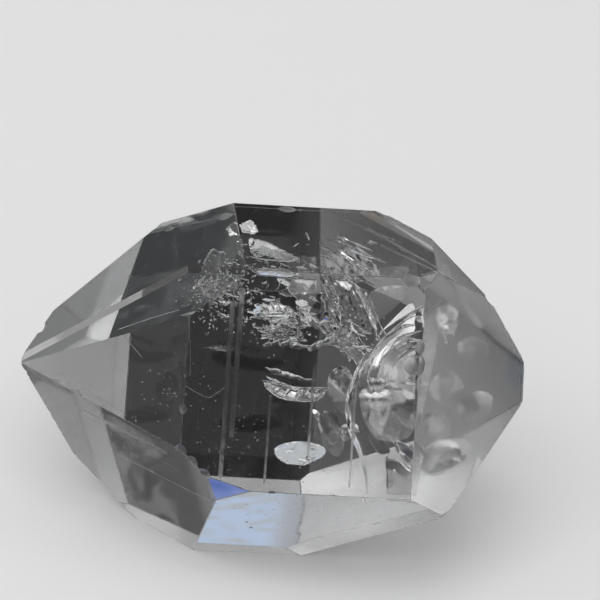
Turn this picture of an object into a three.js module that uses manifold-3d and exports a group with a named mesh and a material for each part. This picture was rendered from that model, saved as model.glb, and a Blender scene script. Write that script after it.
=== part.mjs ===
// A doubly terminated quartz crystal (a Herkimer diamond), lying on one prism face.
// Millimetres. +X runs along the crystal's long (c) axis, +Z is up, and the origin is
// under the middle of the crystal, on the face that it rests on.
//
// Quartz keeps fixed angles between its faces, so the shape is cleaved from a block by
// planes: each has a turn round the long axis, a lean away from it and a reach from the
// centre. Growth ledges, broken corners and small shell-shaped chips are then cut in.

import * as THREE from 'three';
import * as BufferGeometryUtils from 'three/addons/utils/BufferGeometryUtils.js';
import Module from 'manifold-3d';

const wasm = await Module();
wasm.setup();

// ---- Driving dimensions (mm and degrees) ----

const ROUGH_BLOCK = 60;          // side of the block that the crystal is cleaved from
const FACE_TURN = 60;            // turn from one prism face to the next
const PRISM_LEAN = 90;           // prism faces stand along the long axis
const RHOMB_LEAN = 51.79;        // the pyramid faces of quartz
const STEEP_LEAN = 86;           // a narrow face just off the front prism face

// How far each face lies from the centre. Each list starts with the face that is turned
// straight up and goes on over the back: top, upper back, lower back, bottom, lower front,
// upper front.
const PRISM_REACH = [9.2, 7.7, 7.3, 8.6, 8.15, 6.85];
const LEFT_REACH = [9.25, 10.2, 8.6, 10.9, 8.75, 9.05];
const RIGHT_REACH = [11.85, 9.1, 7.4, 8.1, 11.85, 9.55];
const TOP = 0;                   // places in each list
const UPPER_BACK = 1;
const UPPER_FRONT = 5;
const STEEP_REACH = 7.1;
const LEFT_TIP = 14.15;          // the left point is worn blunt this far from the centre

// Growth ledges: the depth of each step, a point that its riser runs through and the
// heading that it steps down towards. Both are laid onto the ledge's own face.
const LEDGE_SLOPE = 25;          // lean of a riser from the face that it steps down

const FRONT_LEDGE_DROP = 0.17;   // the long ledge up the upper left face
const FRONT_LEDGE_START = [-10, 0.3, 4];
const FRONT_LEDGE_HEADING = [0, -1, 0];
const FRONT_LEDGE_BEND = [-5.66, 0.1, 7.3];
const FRONT_LEDGE_TURN = 40;     // it bends this much towards the front edge

const BACK_LEDGE_DROP = 0.14;    // a shallower one on the upper back prism face
const BACK_LEDGE_START = [4.9, 3.6, 9.2];
const BACK_LEDGE_HEADING = [1, 0, 0.35];

const FAR_LEDGE_DROP = 0.16;     // and one on the right-hand upper back pyramid face
const FAR_LEDGE_START = [8, 4.6, 5];
const FAR_LEDGE_HEADING = [-0.2, 1, -0.5];

// Corners broken off flat, each by the plane through three points.
const BROKEN_CORNERS = [
  [[-4.3, -8.3, -0.9], [-1.9, -8.72, -1.24], [-4.1, -7.95, -2.3]],   // front left
  [[6.46, -2.86, 8.8], [6.98, -2.1, 9.24], [7.2, -2.5, 8.8]],        // upper front right
  [[13.3, -0.51, 2.48], [13.47, -1.39, 0.69], [13.68, -0.58, 1.37]], // along the right point
];

// Shell-shaped chips, mostly on the ridges: centre of the chip, its radius and its depth.
const CHIPS = [
  [[-6.15, -7.45, 0.42], 0.7, 0.16],
  [[-5.45, -7.8, -0.05], 0.55, 0.14],
  [[-4.75, -8.18, -0.6], 0.6, 0.17],
  [[-6.12, -6.35, 2.4], 0.45, 0.12],
  [[11.05, -0.33, 6.3], 0.75, 0.2],
  [[5.0, 3.45, 9.2], 0.7, 0.15],
  [[-11.25, -2.85, 0.35], 0.5, 0.1],
  [[-0.9, -8.66, -1.3], 0.5, 0.08],
  [[-9.4, 5.2, 2.04], 0.8, 0.16],
  [[0.8, 8.66, 0.4], 0.9, 0.18],
  [[-2.9, 8.66, 0.4], 0.6, 0.12],
  [[4.93, 5.6, 5.7], 0.8, 0.14],
  [[10.4, 0.9, 6.0], 0.5, 0.1],
  [[-12.9, 1.6, 1.6], 0.5, 0.1],
  [[7.9, 2.2, -3.6], 0.9, 0.15],
];
const CHIP_DETAIL = 2;           // rounds of subdivision on a chip's ball
const CHIP_SQUARENESS = 0.5;     // how far a chip leans to the points of the crystal

const MERGE = 1e-4;              // vertices nearer than this are one

// ---- Materials ----

const quartz = new THREE.MeshStandardMaterial({
  name: 'clear_quartz',
  color: 0xe6ebee,
  roughness: 0.04,
  metalness: 0,
  transparent: true,
  opacity: 0.45,
  flatShading: true,
});

// ---- Cutting tools ----

function toSolid(geometry) {
  const bare = geometry.clone();
  bare.deleteAttribute('normal');
  bare.deleteAttribute('uv');
  const merged = BufferGeometryUtils.mergeVertices(bare, MERGE);
  return new wasm.Manifold(new wasm.Mesh({
    numProp: 3,
    vertProperties: new Float32Array(merged.attributes.position.array),
    triVerts: new Uint32Array(merged.index.array),
  }));
}

function toGeometry(solid) {
  const mesh = solid.getMesh();
  const geometry = new THREE.BufferGeometry();
  geometry.setAttribute('position', new THREE.BufferAttribute(mesh.vertProperties, 3));
  geometry.setIndex(new THREE.BufferAttribute(mesh.triVerts, 1));
  return geometry;
}

function faceNormal(turn, lean, end) {
  const t = THREE.MathUtils.degToRad(turn);
  const l = THREE.MathUtils.degToRad(lean);
  return new THREE.Vector3(end * Math.cos(l), Math.sin(l) * Math.sin(t), Math.sin(l) * Math.cos(t));
}

// All that lies further out than the plane n.x = reach.
function beyond(normal, reach) {
  const block = new THREE.BoxGeometry(ROUGH_BLOCK, ROUGH_BLOCK, ROUGH_BLOCK);
  block.translate(0, 0, reach + ROUGH_BLOCK / 2);
  const tilt = new THREE.Quaternion().setFromUnitVectors(new THREE.Vector3(0, 0, 1), normal);
  block.applyQuaternion(tilt);
  return toSolid(block);
}

function cleave(solid, normal, reach) {
  return solid.subtract(beyond(normal, reach));
}

// ---- The crystal's faces ----

function prismFaces(solid) {
  PRISM_REACH.forEach((reach, i) => {
    solid = cleave(solid, faceNormal(i * FACE_TURN, PRISM_LEAN, 1), reach);
  });
  return solid;
}

function pointFaces(solid, reaches, end) {
  reaches.forEach((reach, i) => {
    solid = cleave(solid, faceNormal(i * FACE_TURN, RHOMB_LEAN, end), reach);
  });
  return solid;
}

function steepFace(solid) {
  return cleave(solid, faceNormal(UPPER_FRONT * FACE_TURN, STEEP_LEAN, -1), STEEP_REACH);
}

// ---- Growth ledges ----

// Lowers the part of a face that lies on the far side of one or more risers. A riser runs
// through a point of the face and steps down towards its heading.
function ledge(solid, normal, reach, drop, risers) {
  const slope = THREE.MathUtils.degToRad(LEDGE_SLOPE);
  let layer = beyond(normal, reach - drop);
  for (const { through, heading } of risers) {
    const along = heading.clone().projectOnPlane(normal).normalize();
    const riser = normal.clone().multiplyScalar(Math.cos(slope)).addScaledVector(along, Math.sin(slope));
    layer = layer.intersect(beyond(riser, riser.dot(through)));
  }
  return solid.subtract(layer);
}

function onFace(point, normal, reach) {
  const spot = new THREE.Vector3(...point);
  return spot.addScaledVector(normal, reach - normal.dot(spot));
}

function frontLedge(solid) {
  const reach = LEFT_REACH[TOP];
  const normal = faceNormal(TOP * FACE_TURN, RHOMB_LEAN, -1);
  const heading = new THREE.Vector3(...FRONT_LEDGE_HEADING);
  const turned = heading.clone().applyAxisAngle(normal, -THREE.MathUtils.degToRad(FRONT_LEDGE_TURN));
  return ledge(solid, normal, reach, FRONT_LEDGE_DROP, [
    { through: onFace(FRONT_LEDGE_START, normal, reach), heading },
    { through: onFace(FRONT_LEDGE_BEND, normal, reach), heading: turned },
  ]);
}

function backLedge(solid) {
  const reach = PRISM_REACH[UPPER_BACK];
  const normal = faceNormal(UPPER_BACK * FACE_TURN, PRISM_LEAN, 1);
  const through = onFace(BACK_LEDGE_START, normal, reach);
  const heading = new THREE.Vector3(...BACK_LEDGE_HEADING);
  return ledge(solid, normal, reach, BACK_LEDGE_DROP, [{ through, heading }]);
}

function farLedge(solid) {
  const reach = RIGHT_REACH[UPPER_BACK];
  const normal = faceNormal(UPPER_BACK * FACE_TURN, RHOMB_LEAN, 1);
  const through = onFace(FAR_LEDGE_START, normal, reach);
  const heading = new THREE.Vector3(...FAR_LEDGE_HEADING);
  return ledge(solid, normal, reach, FAR_LEDGE_DROP, [{ through, heading }]);
}

// ---- Damage ----

function breakCorner(solid, points) {
  const [a, b, c] = points.map((p) => new THREE.Vector3(...p));
  const plane = new THREE.Plane().setFromCoplanarPoints(a, b, c);
  if (plane.constant > 0) plane.negate();
  return cleave(solid, plane.normal, -plane.constant);
}

// A ball whose near side dips below the ridge by the chip's depth.
function chip(solid, centre, radius, depth) {
  const spot = new THREE.Vector3(...centre);
  const outward = spot.clone().normalize();
  outward.x *= CHIP_SQUARENESS;
  outward.normalize();
  const ball = new THREE.IcosahedronGeometry(radius, CHIP_DETAIL);
  const middle = spot.addScaledVector(outward, radius - depth);
  ball.translate(middle.x, middle.y, middle.z);
  return solid.subtract(toSolid(ball));
}

// ---- Assembly ----

function crystalSolid() {
  let solid = toSolid(new THREE.BoxGeometry(ROUGH_BLOCK, ROUGH_BLOCK, ROUGH_BLOCK));
  solid = prismFaces(solid);
  solid = pointFaces(solid, LEFT_REACH, -1);
  solid = pointFaces(solid, RIGHT_REACH, 1);
  solid = steepFace(solid);
  solid = cleave(solid, new THREE.Vector3(-1, 0, 0), LEFT_TIP);
  solid = frontLedge(solid);
  solid = backLedge(solid);
  solid = farLedge(solid);
  for (const points of BROKEN_CORNERS) solid = breakCorner(solid, points);
  for (const [centre, radius, depth] of CHIPS) solid = chip(solid, centre, radius, depth);
  return solid;
}

function crystal() {
  const geometry = toGeometry(crystalSolid());
  geometry.computeBoundingBox();
  const { min, max } = geometry.boundingBox;
  geometry.translate(-(min.x + max.x) / 2, -(min.y + max.y) / 2, -min.z);
  const mesh = new THREE.Mesh(geometry, quartz);
  mesh.name = 'crystal';
  return mesh;
}

const herkimerCrystal = new THREE.Group();
herkimerCrystal.add(crystal());

export default herkimerCrystal;
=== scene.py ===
import math
import random

import bpy
from mathutils import Matrix, Vector, noise


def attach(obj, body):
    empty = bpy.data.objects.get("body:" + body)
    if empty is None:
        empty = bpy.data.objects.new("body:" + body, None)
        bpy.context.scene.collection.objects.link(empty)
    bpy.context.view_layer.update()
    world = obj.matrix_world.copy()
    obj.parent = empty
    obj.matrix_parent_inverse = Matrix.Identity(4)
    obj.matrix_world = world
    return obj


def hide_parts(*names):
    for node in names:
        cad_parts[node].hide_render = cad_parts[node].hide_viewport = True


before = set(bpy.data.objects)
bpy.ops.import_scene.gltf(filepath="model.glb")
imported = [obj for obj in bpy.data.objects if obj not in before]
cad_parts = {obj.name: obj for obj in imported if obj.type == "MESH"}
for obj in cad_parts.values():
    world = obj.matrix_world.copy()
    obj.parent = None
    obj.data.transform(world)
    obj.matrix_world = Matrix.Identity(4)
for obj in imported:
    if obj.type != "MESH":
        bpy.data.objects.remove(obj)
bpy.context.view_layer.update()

# The crystal is cut on the bench in millimetres, about the middle of its long axis, with +X along
# that axis and +Z up. Finished pieces are then shrunk to metres and set down on the floor.
MM = 0.001
BENCH_TO_FLOOR = Vector((0.257, 0.0, 8.6))

# ---- The crystal's faces: turn round the long axis, lean from it, reach from its middle ----

FACE_TURN = 60
PRISM_LEAN = 90
RHOMB_LEAN = 51.79
STEEP_LEAN = 86
TOP, UPPER_BACK, LOWER_BACK, BOTTOM, LOWER_FRONT, UPPER_FRONT = range(6)
PRISM_REACH = (9.2, 7.7, 7.3, 8.6, 8.15, 6.85)
LEFT_REACH = (9.25, 10.2, 8.6, 10.9, 8.75, 9.05)
RIGHT_REACH = (11.85, 9.1, 7.4, 8.1, 11.85, 9.55)
STEEP_REACH = 7.1
LEFT_TIP = 14.15
BLOCK = 60.0
WELD = 1e-5
EDGE_SOFTNESS = 0.05
EDGE_ROUNDS = 2

# Growth ledges: the depth of each step, a point that its riser runs through and the heading that
# it steps down towards. The front one bends halfway.
LEDGE_SLOPE = 25
FRONT_LEDGE_DROP = 0.17
FRONT_LEDGE_START = (-10, 0.3, 4)
FRONT_LEDGE_HEADING = (0, -1, 0)
FRONT_LEDGE_BEND = (-5.66, 0.1, 7.3)
FRONT_LEDGE_TURN = -40
BACK_LEDGE_DROP = 0.14
BACK_LEDGE_START = (4.9, 3.6, 9.2)
BACK_LEDGE_HEADING = (1, 0, 0.35)
FAR_LEDGE_DROP = 0.16
FAR_LEDGE_START = (8, 4.6, 5)
FAR_LEDGE_HEADING = (-0.2, 1, -0.5)

# Corners broken off flat, each by the plane through three points.
BROKEN_CORNERS = (
    ((-4.3, -8.3, -0.9), (-1.9, -8.72, -1.24), (-4.1, -7.95, -2.3)),
    ((6.46, -2.86, 8.8), (6.98, -2.1, 9.24), (7.2, -2.5, 8.8)),
    ((13.3, -0.51, 2.48), (13.47, -1.39, 0.69), (13.68, -0.58, 1.37)),
)


# ---- Bench work shared by all pieces ----


def deselect():
    bpy.ops.object.select_all(action="DESELECT")


def pick(piece):
    deselect()
    piece.select_set(True)
    bpy.context.view_layer.objects.active = piece


def edit(piece):
    pick(piece)
    bpy.ops.object.mode_set(mode="EDIT")
    bpy.ops.mesh.select_all(action="SELECT")


def done():
    bpy.ops.object.mode_set(mode="OBJECT")


def face_normal(turn, lean, end=1):
    t, l = math.radians(turn), math.radians(lean)
    return Vector((end * math.cos(l), math.sin(l) * math.sin(t), math.sin(l) * math.cos(t)))


def prism(place):
    return face_normal(place * FACE_TURN, PRISM_LEAN)


def rhomb(place, end):
    return face_normal(place * FACE_TURN, RHOMB_LEAN, end)


def cleave(piece, normal, reach):
    """Splits off all that lies beyond a flat plane."""
    edit(piece)
    bpy.ops.mesh.bisect(
        plane_co=normal * reach, plane_no=normal, use_fill=True, clear_outer=True, threshold=WELD
    )
    done()


def rough_block(name):
    deselect()
    bpy.ops.mesh.primitive_cube_add(size=BLOCK)
    block = bpy.context.object
    block.name = name
    return block


def wedge(name, planes):
    """What lies beyond every one of the planes."""
    block = rough_block(name)
    for normal, reach in planes:
        cleave(block, -normal, -reach)
    return block


def carve(piece, tool):
    """Takes the tool's shape out of the piece and puts the tool away."""
    pick(piece)
    cut = piece.modifiers.new("carve", "BOOLEAN")
    cut.operation = "DIFFERENCE"
    cut.solver = "EXACT"
    cut.object = tool
    bpy.ops.object.modifier_apply(modifier=cut.name)
    bpy.data.objects.remove(tool, do_unlink=True)


def set_down(piece):
    """Shrinks a bench piece to its real size and puts it in its place over the floor."""
    piece.scale = (MM, MM, MM)
    piece.location = BENCH_TO_FLOOR * MM
    pick(piece)
    bpy.ops.object.transform_apply(location=True, rotation=True, scale=True)


# ---- The crystal's body ----


def three_point_plane(points):
    a, b, c = (Vector(p) for p in points)
    normal = (b - a).cross(c - a).normalized()
    if normal.dot(a) < 0:
        normal.negate()
    return normal, normal.dot(a)


def cleaved_block():
    body = rough_block("crystal_body")
    for place, reach in enumerate(PRISM_REACH):
        cleave(body, prism(place), reach)
    for end, reaches in ((-1, LEFT_REACH), (1, RIGHT_REACH)):
        for place, reach in enumerate(reaches):
            cleave(body, rhomb(place, end), reach)
    cleave(body, face_normal(UPPER_FRONT * FACE_TURN, STEEP_LEAN, -1), STEEP_REACH)
    cleave(body, Vector((-1, 0, 0)), LEFT_TIP)
    for points in BROKEN_CORNERS:
        cleave(body, *three_point_plane(points))
    return body


def soften_edges(body):
    edit(body)
    bpy.ops.mesh.bevel(
        offset=EDGE_SOFTNESS, offset_type="OFFSET", segments=EDGE_ROUNDS, clamp_overlap=True
    )
    done()


def ledge(body, normal, reach, drop, risers):
    """Lowers a face beyond its risers, each through a point and stepping down along a heading."""
    slope = math.radians(LEDGE_SLOPE)
    planes = [(normal, reach - drop)]
    for point, heading in risers:
        spot, way = Vector(point), Vector(heading)
        spot += normal * (reach - normal.dot(spot))
        along = way - normal * normal.dot(way)
        riser = normal * math.cos(slope) + along.normalized() * math.sin(slope)
        planes.append((riser, riser.dot(spot)))
    carve(body, wedge("ledge", planes))


def growth_ledges(body):
    face = rhomb(TOP, -1)
    turned = Matrix.Rotation(math.radians(FRONT_LEDGE_TURN), 3, face) @ Vector(FRONT_LEDGE_HEADING)
    risers = ((FRONT_LEDGE_START, FRONT_LEDGE_HEADING), (FRONT_LEDGE_BEND, turned))
    ledge(body, face, LEFT_REACH[TOP], FRONT_LEDGE_DROP, risers)
    risers = ((BACK_LEDGE_START, BACK_LEDGE_HEADING),)
    ledge(body, prism(UPPER_BACK), PRISM_REACH[UPPER_BACK], BACK_LEDGE_DROP, risers)
    risers = ((FAR_LEDGE_START, FAR_LEDGE_HEADING),)
    ledge(body, rhomb(UPPER_BACK, 1), RIGHT_REACH[UPPER_BACK], FAR_LEDGE_DROP, risers)


# Shallow growth grooves in the faces: both ends, the face's outward direction, radius and depth.
GROOVE_FACETS = 96
GROOVES = (
    ((-3.87, -8.3, -0.68), (-3.87, -3.5, 7.6), prism(UPPER_FRONT), 0.6, 0.016),
    ((-3.4, -7.2, 1.2), (-3.35, -3.1, 8.3), prism(UPPER_FRONT), 0.5, 0.003),
    ((-1.4, -8.4, -0.85), (-1.4, -6.0, 3.3), prism(UPPER_FRONT), 0.8, 0.003),
    ((0.9, -7.6, 0.5), (0.9, -5.1, 4.86), prism(UPPER_FRONT), 0.6, 0.002),
    ((3.3, -8.4, -0.85), (3.3, -5.6, 4.0), prism(UPPER_FRONT), 0.7, 0.003),
    ((4.0, 1.9, 9.2), (7.7, -1.7, 9.2), prism(TOP), 0.6, 0.004),
    ((4.6, 0.3, 9.2), (7.2, -1.7, 9.2), prism(TOP), 0.5, 0.003),
    ((2.6, 2.6, 9.2), (5.4, 0.9, 9.2), prism(TOP), 0.5, 0.003),
    ((-8.6, -3.1, -3.4), (-3.9, -7.8, -2.9), rhomb(LOWER_FRONT, -1), 0.7, 0.01),
    ((-9.9, -2.9, -1.7), (-4.6, -7.9, -1.4), rhomb(LOWER_FRONT, -1), 0.8, 0.012),
    ((-8.0, -4.2, -2.6), (-4.0, -8.0, -2.2), rhomb(LOWER_FRONT, -1), 0.6, 0.008),
    ((-10.8, -2.5, -0.9), (-6.6, -6.5, -0.6), rhomb(LOWER_FRONT, -1), 0.7, 0.008),
)


def groove(body, start, end, out, radius, depth):
    a, b = (Vector(point) for point in (start, end))
    reach = max(out.dot(a), out.dot(b))
    a += out * (reach - out.dot(a))
    b += out * (reach - out.dot(b))
    run = b - a
    deselect()
    bpy.ops.mesh.primitive_cylinder_add(
        vertices=GROOVE_FACETS,
        radius=radius,
        depth=run.length,
        location=(a + b) / 2 + out * (radius - depth),
        rotation=run.to_track_quat("Z", "Y").to_euler(),
    )
    bpy.ops.object.transform_apply(location=True, rotation=True, scale=True)
    carve(body, bpy.context.object)


# A curved shell-shaped scar on the upper front face, beside the ridge to the right-hand point. It
# follows an arc round a centre that lies this far along the crystal and up the face.
SCAR_CENTRE = (7.1, 1.0)
SCAR_RADIUS = 2.85
SCAR_HALF_WIDTH = 1.0
SCAR_TURNS = (86, 196)
SCAR_DEPTH = 0.13
SCAR_LIFT = 0.03
SCAR_RIPPLE = 0.07
SCAR_PITCH = 0.4
SCAR_SWIRL = 1.2
SCAR_SEED = 3
SCAR_CELLS = (72, 44)


def scar_middle():
    """The centre of the scar's arc, and the ways along the crystal, up the face and out of it."""
    along = Vector((1, 0, 0))
    out = prism(UPPER_FRONT)
    up = out.cross(along)
    middle = out * PRISM_REACH[UPPER_FRONT] + along * SCAR_CENTRE[0] + up * SCAR_CENTRE[1]
    return middle, along, up, out


def scar_tool():
    """A rippled slab that dips below the face along the arc."""
    middle, along, up, out = scar_middle()
    start, end = (math.radians(turn) for turn in SCAR_TURNS)
    deselect()
    bpy.ops.mesh.primitive_grid_add(x_subdivisions=SCAR_CELLS[0], y_subdivisions=SCAR_CELLS[1], size=2)
    slab = bpy.context.object
    for vert in slab.data.vertices:
        a, b = vert.co.x, vert.co.y
        turn = start + (end - start) * (a + 1) / 2
        ring = SCAR_RADIUS + SCAR_HALF_WIDTH * b
        height = -SCAR_DEPTH + (SCAR_DEPTH + SCAR_LIFT) * (1 - (1 - a ** 4) * (1 - b * b))
        swirl = Vector((ring / SCAR_PITCH, SCAR_SWIRL * turn, SCAR_SEED))
        height += SCAR_RIPPLE * (1 - b * b) * noise.noise(swirl)
        vert.co = middle + (along * math.cos(turn) + up * math.sin(turn)) * ring + out * height
    edit(slab)
    bpy.ops.mesh.extrude_region_move(TRANSFORM_OT_translate={"value": out})
    bpy.ops.mesh.select_all(action="SELECT")
    bpy.ops.mesh.normals_make_consistent(inside=False)
    done()
    bpy.ops.object.shade_smooth()
    return slab


# Shell-shaped chips: centre, radius and depth.
CHIPS = (
    ((-6.15, -7.45, 0.42), 0.7, 0.16),
    ((-5.45, -7.8, -0.05), 0.55, 0.14),
    ((-4.75, -8.18, -0.6), 0.6, 0.17),
    ((-6.12, -6.35, 2.4), 0.45, 0.12),
    ((11.05, -0.33, 6.3), 0.75, 0.2),
    ((5.0, 3.45, 9.2), 0.7, 0.15),
    ((-11.25, -2.85, 0.35), 0.5, 0.1),
    ((-0.9, -8.66, -1.3), 0.5, 0.08),
    ((-9.4, 5.2, 2.04), 0.8, 0.16),
    ((0.8, 8.66, 0.4), 0.9, 0.18),
    ((-2.9, 8.66, 0.4), 0.6, 0.12),
    ((4.93, 5.6, 5.7), 0.8, 0.14),
    ((10.4, 0.9, 6.0), 0.5, 0.1),
    ((-12.9, 1.6, 1.6), 0.5, 0.1),
    ((7.9, 2.2, -3.6), 0.9, 0.15),
    ((5.73, -2.78, 8.88), 0.8, 0.04),
    ((6.1, -5.05, 4.95), 0.9, 0.12),
    ((6.65, -5.1, 4.9), 1.2, 0.13),
    ((7.2, -4.85, 4.95), 1.0, 0.12),
    ((7.6, -4.5, 5.3), 0.8, 0.1),
    ((6.8, -5.45, 4.3), 0.7, 0.1),
    ((6.6, -4.6, 5.8), 0.8, 0.1),
)
# How far a chip leans to the points of the crystal, how lumpy it is and how fine its lumps are.
CHIP_SQUARENESS = 0.5
CHIP_LUMPS = 0.06
CHIP_LUMPS_PER_RADIUS = 1.6
CHIP_DETAIL = 4
CHIP_SEED = 5
# Nicks: how many, least and greatest radius, depth in shares of it, and the stretch of a ridge
# that they lie on.
NICKS = 90
NICK_SIZES = (0.1, 0.32)
NICK_DEPTHS = (0.12, 0.3)
NICK_STRETCH = (0.03, 0.97)
NICK_DETAIL = 2
SHORTEST_RIDGE = 1.0
# Facets of a chip have less than this area, and edge strips and grooves less than this width.
CHIP_FACET = 0.008
NARROW = 0.06


def ridges(body):
    """The ends of every long straight ridge."""
    found = []
    for edge in body.data.edges:
        a, b = (body.data.vertices[i].co.copy() for i in edge.vertices)
        if (a - b).length > SHORTEST_RIDGE:
            found.append((a, b))
    return found


def chip_ball(centre, radius, depth, detail):
    spot = Vector(centre)
    out = spot.normalized()
    out.x *= CHIP_SQUARENESS
    deselect()
    bpy.ops.mesh.primitive_ico_sphere_add(
        subdivisions=detail, radius=radius, location=spot + out.normalized() * (radius - depth)
    )
    ball = bpy.context.object
    bpy.ops.object.transform_apply(location=True, rotation=True, scale=True)
    for vert in ball.data.vertices:
        lump = noise.noise(vert.co * (CHIP_LUMPS_PER_RADIUS / radius))
        vert.co += (vert.co - spot) * CHIP_LUMPS * lump
    return ball


def chip_ridges(body, ridge_lines):
    """Knocks the larger chips and many small nicks out of the ridges."""
    chance = random.Random(CHIP_SEED)
    lengths = [(a - b).length for a, b in ridge_lines]
    for centre, radius, depth in CHIPS:
        carve(body, chip_ball(centre, radius, depth, CHIP_DETAIL))
    for _ in range(NICKS):
        a, b = chance.choices(ridge_lines, lengths)[0]
        radius = chance.uniform(*NICK_SIZES)
        centre = a.lerp(b, chance.uniform(*NICK_STRETCH))
        depth = radius * chance.uniform(*NICK_DEPTHS)
        carve(body, chip_ball(centre, radius, depth, NICK_DETAIL))


def mark_wear(body):
    """Marks chips, which are smooth shells, and the narrow faces along ridges and grooves."""
    wear = body.data.attributes.new("wear", "FLOAT", "FACE")
    corners = body.data.vertices
    for face in body.data.polygons:
        face.use_smooth = face.area < CHIP_FACET
        rim = sum((corners[a].co - corners[b].co).length for a, b in face.edge_keys)
        narrow = 2 * face.area / rim < NARROW
        wear.data[face.index].value = float(face.use_smooth or narrow)


# ---- Fractures inside the crystal ----

# Each crack is a thin gap. Its outline or spine is drawn in its own plane, in millimetres round
# its middle, and the plane's facing and heading turn it in the crystal.
GAP = 0.03
THICKEST = 3.0    # the widest gap, in shares of GAP
THINNEST = 0.05   # the narrowest one, in shares of the widest
# Where flow lines spread from, in shares of a crack's reach, and how far they are drawn out.
FLOW = (-1.1, 0.5, 1.0)
SHELL_FLOW = (0.3, 0.0, 0.65)
HACKLE = (-1.1, 0.5, 4.0)
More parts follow.
